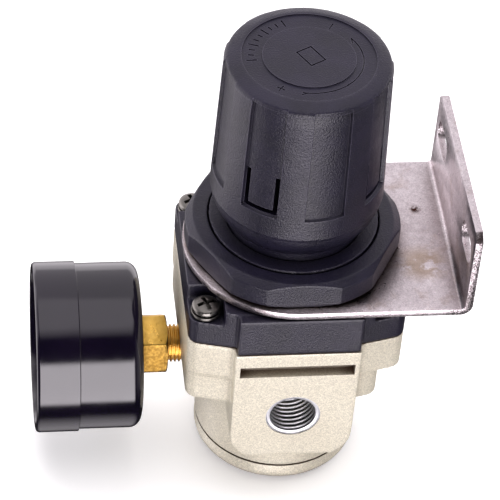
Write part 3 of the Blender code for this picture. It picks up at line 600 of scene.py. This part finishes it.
def bottom_plug():
    edge = arc(20.8 - 3.5, 3.5, 3.5, -90, 0, 12)
    profile = [(0, 0)] + edge + softened([(20.8, 5.85), (10.7, 5.85), (10.7, 8.0), (9.5, 8.0),
                                          (9.5, 10.0), (10.7, 10.0), (10.7, 14.0), (6.3, 14.0),
                                          (6.3, 10.0), (4.3, 10.0), (4.3, 14.0), (3.3, 14.0),
                                          (3.3, 7.0)], 0.3) + [(0, 7.0)]
    plug = to_object("bottom_cap", turned(profile, FINE))
    for side in (-13.0, 13.0):
        slot = arc(side + 1.2, 0, 1.3, -90, 90, 10) + arc(side - 1.2, 0, 1.3, 90, 270, 10)
        cut(plug, to_object("slot", prism(slot, -1.0, 1.8)))
    piece(plug, "body_paint", "housing", "bottom_plug")


def gauge_port_plug():
    profile = [(0, 17.5), (0, 25.6), (4.3, 25.6), (4.75, 25.1), (4.75, 17.5)]
    plug = to_object("hex_plug", turned(softened(profile, 0.2), SMALL), along_x())
    cut(plug, to_object("socket", prism(arc(0, 0, 2.9, 0, 300, 5), 22.5, 27.0), along_x()))
    piece(bevelled(plug, 0.08), "dark_zinc", "housing", "gauge_port_plug")


# ---------------------------------------------------------------- bonnet, screws, nut

def bonnet_shell():
    """Moulded bonnet: skirt with four screw pockets, shoulder ring, threaded neck and guide tube."""
    low, high = 52.85, 64.2
    skirt = to_object("bonnet_moulding", prism(plan_outline(26.5, 26.5), low, high))
    for x, y in screw_places():
        pocket = block((18.2 if x > 0 else -30.0, 13.2 if y > 0 else -30.0, POCKET_FLOOR),
                       (30.0 if x > 0 else -18.2, 30.0 if y > 0 else -13.2, 70.0))
        cut(skirt, to_object("pocket", pocket))
    panel = to_object("panel", block((-15.0, -PORT_FACE_Y, low), (15.0, PORT_FACE_Y, 64.0)))
    neck = [(0, 58.0), (23.5, 58.0), (23.5, 64.5), (NECK_R, 64.5), (NECK_R, 74.6), (0, 74.6)]
    moulded(skirt, [panel, to_object("neck", turned(neck, FINE))], 0.36, 2)
    cut(skirt, to_object("well", turned([(0, 70.0), (17.0, 70.0), (17.0, 76.0), (0, 76.0)], FINE)))
    guide = turned([(0, 60.0), (14.4, 60.0), (14.4, 101.8), (0, 101.8)], ROUND, 1.0)
    join(skirt, to_object("guide", guide))
    cavity = [(0, 50.0), (16.0, 50.0), (16.0, 56.5), (12.6, 58.5), (12.6, 98.8), (4.5, 98.8),
              (4.5, 104.0), (0, 104.0)]
    cutters = [to_object("cavity", turned(cavity, ROUND, 2.0))]
    for x, y in screw_places():
        cutters.append(to_object("hole", rod(1.9, 50.0, 62.0), Matrix.Translation((x, y, 0))))
    for sign in (-1, 1):
        low_x, high_x = sorted((sign * 11.0, sign * 13.5))
        cutters.append(to_object("key", block((low_x, -2.3, 66.0), (high_x, 2.3, 98.8))))
    cut(skirt, *cutters)
    piece(skirt, "charcoal_plastic", "housing", "bonnet")


def bonnet_screws():
    """Cross-recessed pan-head screws with flat washers."""
    head = [(0, 42.0), (1.6, 42.0), (1.6, 61.2), (3.1, 61.2), (3.4, 61.5), (3.4, 62.1)]
    head += [(3.4 * math.cos(math.radians(angle)), 62.1 + 1.1 * math.sin(math.radians(angle)))
             for angle in range(12, 90, 13)] + [(0, 63.2)]
    for number, (x, y) in enumerate(screw_places(), 1):
        place = Matrix.Translation((x, y, 0))
        screw = to_object(f"pan_screw_{number}", turned(head, SMALL), place)
        for angle in (20, 110):
            bar = prism([(-2.2, -0.5), (2.2, -0.5), (2.2, 0.5), (-2.2, 0.5)], 61.7, 64.0)
            cut(screw, to_object("bar", bar, place @ Matrix.Rotation(math.radians(angle), 4, "Z")))
        piece(bevelled(screw, 0.06), "dark_zinc", "housing", f"bonnet_screw_{number}")
        washer = to_object(f"flat_washer_{number}", tube(3.6, 2.0, POCKET_FLOOR + 0.3, 60.9, SMALL), place)
        piece(washer, "dark_zinc", "housing", f"screw_washer_{number}")


def hexagon(half_flats, corner_r, first_flat):
    """Hexagon outline whose corners are cut back to a circle."""
    half_angle = math.degrees(math.acos(half_flats / corner_r))
    outline = []
    for flat in range(6):
        middle = first_flat + 60.0 * flat
        outline += arc(0, 0, corner_r, middle + half_angle, middle + 60.0 - half_angle, 8)
    return outline


def panel_nut():
    """Hexagonal plastic nut with wide chamfers, from which the bracket can't slip."""
    nut = to_object("neck_nut", prism(hexagon(24.75, 26.3, -90.0), 66.8, 74.2))
    chamfer = [(0, 66.8), (24.6, 66.8), (28.0, 68.6), (28.0, 71.6), (24.4, 74.2), (0, 74.2)]
    combine(nut, [to_object("envelope", turned(chamfer, FINE, 1.0))], "INTERSECT")
    cut(nut, to_object("bore", rod(20.9, 60.0, 80.0, FINE)))
    moulded(nut, [], 0.26, 1)
    piece(nut, "charcoal_plastic", "housing", "panel_nut", smooth=60.0)


def bracket():
    """Bent nickel-plated sheet: round-ended plate under the nut and an upright slotted flange."""
    wall_x, bend, half = 40.65, 3.0, 26.6
    top = PLATE_TOP + 23.5
    bend_x, bend_z = wall_x - bend, PLATE_TOP - SHEET + bend
    profile = [(-30.0, PLATE_TOP - SHEET)] + arc(bend_x, bend_z, bend, -90, 0, 16)
    profile += [(wall_x, top), (wall_x - SHEET, top)]
    profile += arc(bend_x, bend_z, bend - SHEET, 0, -90, 16) + [(-30.0, PLATE_TOP)]
    turn = Matrix.Rotation(math.radians(90), 4, "X")
    sheet = to_object("bent_bracket", prism(profile, -half, half), turn)
    plan = [(50.0, -half), (50.0, half)] + arc(0, 0, half, 90, 270, 72)
    combine(sheet, [to_object("plan", prism(plan, 50.0, 100.0))], "INTERSECT")
    cutters = [to_object("hole", rod(NECK_R + 0.3, 50.0, 70.0, FINE))]
    for sign in (-1, 1):
        slot = arc(0, sign * 18.0 + 2.65, 3.25, 0, 180, 16) + arc(0, sign * 18.0 - 2.65, 3.25, 180, 360, 16)
        place = Matrix.Translation((0, 0, 80.7)) @ Matrix.Rotation(math.radians(-90), 4, "Y")
        cutters.append(to_object("slot", prism(slot, -45.0, -35.0), place))
        corner = [(sign * (half - 2.0), top + 1), (sign * (half + 1), top + 1),
                  (sign * (half + 1), top - 2.0), (sign * half, top - 2.0), (sign * (half - 2.0), top)]
        cutters.append(to_object("corner", prism(corner, 35.0, 45.0), FACING_X))
    cut(sheet, *cutters)
    piece(bevelled(sheet, 0.16, 2, 40.0), "nickel_sheet", "housing", "mounting_bracket")


# ---------------------------------------------------------------- knob

def blend_step(value, low, high):
    share = min(max((value - low) / (high - low), 0.0), 1.0)
    return share * share * (3 - 2 * share)


def knob_side(height):
    """Radius of the raised bands: a curved skirt, then an even taper up to the rim."""
    if height < 76.6:
        return 16.6
    if height < 85.0:
        share = (height - 76.6) / 8.4
        return 16.6 + 4.15 * math.sin(share * math.pi / 2) ** 0.85
    return 20.9 - 1.2 * (height - 85.2) / 36.8


def knob_outline(height):
    """Rounded edge between the side and the flat top."""
    corner = [(121.9, 19.72), (122.25, 19.62), (122.6, 19.35), (122.9, 18.9), (123.15, 18.2),
              (123.4, 17.3), (123.56, 16.6), (123.6, 16.2)]
    if height <= corner[0][0]:
        return knob_side(height)
    for (low, first), (high, last) in zip(corner, corner[1:]):
        if height <= high:
            return first + (last - first) * (height - low) / (high - low)
    return corner[-1][1]


def knob_angles():
    """Angles, in degrees from a band's middle, drawn closer where the band's edges are."""
    half = [0, 3.2, 6.4, 8.2, 8.75, 8.9, 9.05, 9.2, 9.35, 9.5, 9.65, 10.2, 12.0, 15.0, 18.5]
    return [-angle for angle in reversed(half[1:])] + half + [22.5]


def knob_levels():
    levels = [72.6, 72.9, 74.5, 76.2, 76.6, 77.0, 77.6, 78.4, 79.4, 80.5, 81.7, 82.9, 84.0, 84.7, 85.0,
              85.15, 85.35, 85.6, 87.0, 89.0, 90.4, 90.65, 90.75, 90.85, 90.95, 91.05, 91.2, 91.6]
    levels += [94.0 + 3.0 * step for step in range(9)]
    return levels + [119.0, 120.2, 121.0, 121.3, 121.4, 121.5, 121.6, 121.7, 121.9, 122.08, 122.25,
                     122.45, 122.6, 122.75, 122.9, 123.02, 123.15, 123.28, 123.4, 123.48, 123.56, 123.6]


def knob_radius(height, offset):
    """Bands stand proud of the panels, and the rim stands a little proud of both."""
    sunk = blend_step(abs(offset), BAND_HALF - 0.2, BAND_HALF + 0.4)
    deep = 0.8 * blend_step(height, 90.7, 91.05)
    deep -= 0.35 * blend_step(height, 121.4, 121.6)
    under_rim = 0.2 * blend_step(height, 119.0, 121.2) * (1 - blend_step(height, 121.4, 121.6))
    side = knob_side(min(height, 122.0)) - deep * sunk - under_rim
    return min(side, knob_outline(height))


def knob_marks():
    """Cutters for the top: a sunk ring with ticks, an arrow both ways, plus and minus, and a plain frame."""
    floor = KNOB_TOP - 0.35
    sunk = [(10.9, floor), (15.7, floor), (15.8, 125.0), (10.8, 125.0)]
    cutters = [to_object("sunk_ring", turned(sunk, FINE))]
    deeper = floor - 0.3

    def strip(radius, start, end, width, steps):
        outer = arc(0, 0, radius + width / 2, start, end, steps)
        inner = arc(0, 0, radius - width / 2, end, start, steps)
        return to_object("strip", prism(outer + inner, deeper, 125.0))

    def bar(radius, angle, length, width, turn):
        place = Matrix.Rotation(math.radians(angle), 4, "Z") @ Matrix.Translation((radius, 0, 0))
        place = place @ Matrix.Rotation(math.radians(turn), 4, "Z")
        shape = block((-length / 2, -width / 2, deeper), (length / 2, width / 2, 125.0))
        return to_object("bar", shape, place)

    cutters.append(strip(12.6, -104.0, 32.0, 0.34, 60))
    cutters += [bar(12.2, 29.0, 2.0, 0.34, 62.0), bar(12.95, -101.0, 2.0, 0.34, 118.0)]
    cutters += [bar(13.0, 60.0, 2.4, 0.36, 0.0), bar(13.2, -126.0, 2.2, 0.36, 0.0),
                bar(13.2, -126.0, 2.2, 0.36, 90.0)]
    for tick in range(10):
        cutters.append(bar(13.4, 110.0 + 8.0 * tick, 2.6 if tick % 3 == 0 else 1.5, 0.42, 0.0))
    turn = Matrix.Translation((0.4, 0.2, 0)) @ Matrix.Rotation(math.radians(-60), 4, "Z")
    for low, high in (((-3.0, -2.2), (3.0, -1.8)), ((-3.0, 1.8), (3.0, 2.2)),
                      ((-3.0, -1.8), (-2.6, 1.8)), ((2.6, -1.8), (3.0, 1.8))):
        shape = block((low[0], low[1], KNOB_TOP - 0.3), (high[0], high[1], 125.0))
        cutters.append(to_object("frame_side", shape, turn))
    return cutters


def knob():
    angles = []
    for band in range(8):
        angles += [(KNOB_PHASE + BAND_PITCH * band + offset, offset) for offset in knob_angles()]
    rings = []
    for height in knob_levels():
        ring = []
        for angle, offset in angles:
            radius = knob_radius(height, offset)
            turn = math.radians(angle)
            ring.append((radius * math.cos(turn), radius * math.sin(turn), height))
        rings.append(ring)
    rings.append([(x * 0.99, y * 0.99, KNOB_TOP) for x, y, _ in rings[-1]])
    shell = to_object("setting_knob", loft(rings))
    hollow = [(14.8, 70.0), (14.8, 82.0), (17.2, 87.0), (17.2, 118.6), (7.0, 118.6), (7.0, 102.4),
              (0, 102.4), (0, 70.0)]
    cutters = [to_object("hollow", turned(hollow, ROUND, 1.0)),
               to_object("hex", prism(arc(0, 0, 4.4, 0, 300, 5), 100.0, 114.0))]
    foot, top = 91.1, 102.3
    tongue = [(-4.35, top), (-4.35, foot + 0.4)] + arc(-3.95, foot + 0.4, 0.4, 180, 270, 4)
    tongue += arc(3.95, foot + 0.4, 0.4, 270, 360, 4) + [(4.35, top), (3.2, top), (3.2, foot + 1.3),
                                                         (-3.2, foot + 1.3), (-3.2, top)]
    for panel in range(0, 8, 2):
        middle = Matrix.Rotation(math.radians(KNOB_PHASE + (panel - 0.5) * BAND_PITCH), 4, "Z")
        cutters.append(to_object("slot", prism(tongue, 15.0, 24.0), middle @ FACING_X))
    cut(shell, *cutters, *knob_marks())
    piece(shell, "charcoal_plastic", "knob", "knob", smooth=40.0)
    for face in shell.data.polygons:
        face.use_smooth = face.normal.z < 0.9999


# ---------------------------------------------------------------- gauge

def gauge_stem():
    """Brass stem: taper thread into the body, hexagon for the wrench, block for the Bourdon tube."""
    stem = to_object("brass_stem", threaded(4.55, 0.6, 1.0, 17.5, 29.6, 1.5, 64), GAUGE)
    hexa = to_object("hexa", prism(hexagon(7.1, 8.1, -77.0), 29.3, 36.0), GAUGE)
    cone = [(0, 29.3), (7.0, 29.3), (8.4, 30.1), (8.4, 35.2), (7.0, 36.0), (0, 36.0)]
    combine(hexa, [to_object("cone", turned(softened(cone, 0.1), ROUND, 1.0), GAUGE)], "INTERSECT")
    inner = to_object("inner", block((-12.1, -4.0, 38.8), (3.0, 4.0, 46.0)), GAUGE)
    neck = to_object("neck", rod(3.9, 35.0, 39.5), GAUGE)
    join(stem, hexa, neck, inner)
    cut(stem, to_object("bore", rod(1.5, 16.0, 43.0), GAUGE))
    piece(bevelled(stem, 0.1, 2, 50.0), "gauge_brass", "housing", "gauge_socket", smooth=45.0)


def gauge_shell():
    back = arc(17.9, 39.3, 3.0, -90, 0, 12)
    profile = [(4.3, 36.3)] + back + softened([(20.9, 51.96), (19.9, 51.96), (19.9, 59.4), (18.6, 59.4),
                                               (18.6, 39.8), (17.2, 38.4), (4.3, 38.4)], 0.05)
    piece(to_object("gauge_can", turned(profile, FINE), GAUGE), "gauge_black", "housing", "gauge_case")
    ring = [(21.4, 52.0), (21.4, 61.9), (21.1, 62.5), (20.6, 62.7), (19.3, 62.7), (18.5, 61.0), (20.2, 61.0),
            (20.2, 52.0)]
    piece(to_object("gauge_bezel", turned(softened(ring, 0.2, 5), FINE), GAUGE), "gauge_black",
          "housing", "gauge_ring")
    window = [(0, 59.8), (19.8, 59.8), (19.8, 60.7), (0, 60.7)]
    piece(to_object("gauge_glass", turned(softened(window, 0.1), FINE), GAUGE), "clear_window",
          "housing", "gauge_window")


def dial_place(radius, degrees):
    """Where a mark sits on the dial: zero degrees is up, positive runs clockwise seen from the front."""
    angle = math.radians(-degrees)
    return (radius * math.cos(angle), radius * math.sin(angle))


def gauge_dial():
    """White dial with a scale over 270 degrees, printed as a film that stands just proud."""
    dial = to_object("dial_plate", tube(18.2, 1.5, 55.6, DIAL_FACE - 0.05, FINE, 0.05), GAUGE)
    for side in (-4.4, 4.4):
        cut(dial, to_object("hole", rod(0.9, 50.0, 60.0, 24), GAUGE @ Matrix.Translation((4.5, side, 0))))
    piece(dial, "dial_white", "housing", "gauge_dial")
    bm = bmesh.new()
    for tick in range(51):
        turn = -135.0 + 270.0 * tick / 50
        if tick % 10 == 0:
            inner, width = 13.6, 0.42
        elif tick % 5 == 0:
            inner, width = 14.4, 0.3
        else:
            inner, width = 15.2, 0.18
        shape = block((inner, -width / 2, DIAL_FACE - 0.05), (16.6, width / 2, DIAL_FACE))
        bmesh.ops.transform(shape, matrix=Matrix.Rotation(math.radians(-turn), 4, "Z"), verts=shape.verts)
        mesh = bpy.data.meshes.new("tick")
        shape.to_mesh(mesh)
        shape.free()
        bm.from_mesh(mesh)
        bpy.data.meshes.remove(mesh)
    piece(to_object("dial_scale", bm, GAUGE), "pointer_black", "housing")
    for index in range(6):
        number(f"{index / 5:g}", -135.0 + 270.0 * index / 5)


def number(text, turn):
    """One figure of the scale, upright as the reader sees it."""
    curve = bpy.data.curves.new("figure", "FONT")
    curve.body = text
    curve.size = 3.3 * MM
    curve.extrude = 0.02 * MM
    curve.align_x = "CENTER"
    curve.align_y = "CENTER"
    item = bpy.data.objects.new("figure", curve)
    bpy.context.scene.collection.objects.link(item)
    up, across = dial_place(11.4, turn)
    bpy.context.view_layer.update()
    graph = bpy.context.evaluated_depsgraph_get()
    mesh = bpy.data.meshes.new_from_object(item.evaluated_get(graph))
    bpy.data.objects.remove(item, do_unlink=True)
    shift = Matrix.Translation((up * MM, across * MM, (DIAL_FACE - 0.02) * MM))
    upright = Matrix.Rotation(math.radians(-90), 4, "Z")
    gauge = Matrix.Translation((0, 0, PORT_Z * MM)) @ Matrix.Rotation(math.radians(-90), 4, "Y")
    mesh.transform(gauge @ shift @ upright)
    figure = bpy.data.objects.new("dial_figure_" + text.replace(".", "_"), mesh)
    bpy.context.scene.collection.objects.link(figure)
    piece(figure, "pointer_black", "housing")


def gauge_pointer():
    outline = [(13.6, 0.12), (13.6, -0.12), (2.0, -0.8)] + arc(0, 0, 2.1, -30, -150, 14)
    outline += [(-5.6, -1.0), (-5.6, 1.0)] + arc(0, 0, 2.1, 150, 30, 14) + [(2.0, 0.8)]
    place = GAUGE @ Matrix.Rotation(math.radians(135), 4, "Z")
    hand = to_object("dial_hand", prism(outline, 57.0, 57.4), place)
    hub = turned(softened([(0, 56.9), (1.5, 56.9), (1.5, 57.6), (1.0, 58.1), (0, 58.1)], 0.15), SMALL)
    join(hand, to_object("hub", hub, GAUGE))
    piece(bevelled(hand, 0.05), "pointer_black", "pointer", "gauge_pointer")


# ---------------------------------------------------------------- springs and inner pieces

def springs():
    long_spring = to_object("setting_spring", coil(10.4, 2.6, 54.5, 88.4, 6))
    piece(long_spring, "spring_steel", "housing", "regulating_spring", smooth=60.0)
    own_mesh(long_spring)
    short_spring = to_object("poppet_spring", coil(5.3, 0.9, 10.3, 19.7, 4))
    piece(short_spring, "steel", "housing", "valve_spring", smooth=60.0)
    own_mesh(short_spring)


def diaphragm_sheet():
    """The rubber sheet, with a raised fold between its flat parts."""
    profile = [(2.9, 50.9), (13.0, 50.9), (14.0, 51.6), (15.2, 51.6), (16.2, 50.9), (18.7, 50.9),
               (18.7, 52.2), (16.6, 52.2), (15.6, 52.5), (13.6, 52.5), (12.6, 51.9), (2.9, 51.9)]
    sheet = to_object("rubber_sheet", turned(softened(profile, 0.15)))
    piece(sheet, "rubber", "housing", "diaphragm")
    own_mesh(sheet)


def dress_frame():
    """The CAD nodes that stay in sight take the finish of their slot in the record."""
    for entry in frame["record"]["subparts"]:
        item = frame["nodes"][entry["node"]]
        for slot in item.material_slots:
            slot.material = MATERIALS[entry["material_slot"]]


# ---------------------------------------------------------------- stage

def plain_material(name, colour, roughness):
    made = surface(name, colour, tuple(value * 0.985 for value in colour), roughness,
                   grain=(300.0, 0.05, 0.05), patch=4.0)
    return made


def floor():
    bm = bmesh.new()
    bmesh.ops.create_grid(bm, x_segments=4, y_segments=4, size=2000.0)
    plane = to_object("floor", bm)
    card = plain_material("lit_floor", (0.9, 0.9, 0.9), (0.6, 0.7))
    glow = card.node_tree.nodes["Principled BSDF"].inputs
    glow["Emission Color"].default_value = (1.0, 1.0, 1.0, 1.0)
    glow["Emission Strength"].default_value = 0.32
    plane.data.materials.append(card)
    plane.visible_glossy = False


def softbox(name, place, target, size, radiance):
    """Rectangular light whose face has the same brightness whatever its size."""
    lamp = bpy.data.lights.new(name, "AREA")
    lamp.shape = "RECTANGLE"
    lamp.size, lamp.size_y = size
    lamp.energy = radiance * math.pi * size[0] * size[1]
    item = bpy.data.objects.new(name, lamp)
    item.location = place
    item.rotation_euler = (Vector(target) - Vector(place)).to_track_quat("-Z", "Y").to_euler()
    item.visible_camera = False
    item.visible_glossy = False
    bpy.context.scene.collection.objects.link(item)


def patch_of_sky(tree, axes, bright, *limits):
    """Light from directions where each axis lies in its band; each band is (axis, start, full, end, gone)."""
    share = None
    for axis, low, full, high, gone in limits:
        for first, last, start, end in ((low, full, 0.0, 1.0), (high, gone, 1.0, 0.0)):
            level = ramp(tree, axes.outputs[axis], first, last, start, end)
            share = level if share is None else arithmetic(tree, "MULTIPLY", share, level)
    return arithmetic(tree, "MULTIPLY", share, bright)


def studio():
    """Soft light by direction: a pale ground line behind, soft light above, bright cards in front."""
    world = bpy.data.worlds.new("studio")
    world.use_nodes = True
    tree = world.node_tree
    backdrop = tree.nodes["Background"]
    backdrop.inputs["Color"].default_value = (1.0, 0.94, 0.99, 1.0)
    place = node(tree, "ShaderNodeTexCoord")
    axes = node(tree, "ShaderNodeSeparateXYZ")
    tree.links.new(place.outputs["Generated"], axes.inputs["Vector"])
    patches = [
        patch_of_sky(tree, axes, FRONT_CARD, ("Z", -0.68, -0.6, 0.32, 0.42), ("X", -0.45, -0.3, 0.3, 0.45),
                     ("Y", *OPEN_LOW, -0.3, -0.1)),
        patch_of_sky(tree, axes, 1.8, ("X", *OPEN_LOW, -0.6, -0.45), ("Y", -0.35, -0.15, *OPEN_HIGH),
                     ("Z", -0.85, -0.7, 0.5, 0.8)),
        patch_of_sky(tree, axes, 0.5, ("X", 0.5, 0.9, *OPEN_HIGH), ("Z", -0.7, -0.3, 0.6, 0.9)),
        patch_of_sky(tree, axes, 1.5, ("Y", 0.1, 0.5, *OPEN_HIGH), ("Z", -0.6, -0.3, 0.08, 0.22)),
        patch_of_sky(tree, axes, 0.78, ("Y", 0.1, 0.35, *OPEN_HIGH), ("Z", 0.0, 0.2, 0.9, 1.0)),
        patch_of_sky(tree, axes, 1.2, ("Z", 0.82, 0.94, *OPEN_HIGH)),
        patch_of_sky(tree, axes, 0.75, ("Z", *OPEN_LOW, -0.99, -0.9)),
    ]
    level = patches[0]
    for brighter in patches[1:]:
        level = arithmetic(tree, "MAXIMUM", level, brighter)
    tree.links.new(arithmetic(tree, "ADD", level, DIM_SKY), backdrop.inputs["Strength"])
    bpy.context.scene.world = world
    bpy.context.scene.view_settings.view_transform = "Standard"


def lights():
    middle = (0.0, 0.0, 0.05)
    softbox("overhead", (0.15, 0.15, 1.3), middle, (1.8, 1.2), 2.6)
    softbox("left_box", (-0.8, -0.35, 0.35), middle, (0.5, 0.5), 1.5)


def camera():
    """Looks down on the front from a little to the left, slightly rolled, through a long lens."""
    yaw, pitch, roll = (math.radians(angle) for angle in (9.52, 43.43, 5.0))
    target = Vector((-9.88, 0.0, 62.62)) * MM
    distance = 639.19 * MM
    back = Vector((-math.sin(yaw) * math.cos(pitch), -math.cos(yaw) * math.cos(pitch), math.sin(pitch)))
    level = Vector((math.cos(yaw), -math.sin(yaw), 0.0))
    upward = back.cross(level)
    right = level * math.cos(roll) + upward * math.sin(roll)
    up = upward * math.cos(roll) - level * math.sin(roll)
    data = bpy.data.cameras.new("camera")
    data.lens = 187.76
    data.sensor_width = 36.0
    item = bpy.data.objects.new("camera", data)
    bpy.context.scene.collection.objects.link(item)
    axes = Matrix((right, up, back)).transposed().to_4x4()
    item.matrix_world = Matrix.Translation(target + back * distance) @ axes
    bpy.context.scene.camera = item


camera()
body_casting()
port_threads()
bottom_plug()
gauge_port_plug()
bonnet_shell()
bonnet_screws()
panel_nut()
bracket()
knob()
gauge_stem()
gauge_shell()
gauge_dial()
gauge_pointer()
springs()
diaphragm_sheet()
dress_frame()
floor()
studio()
lights()
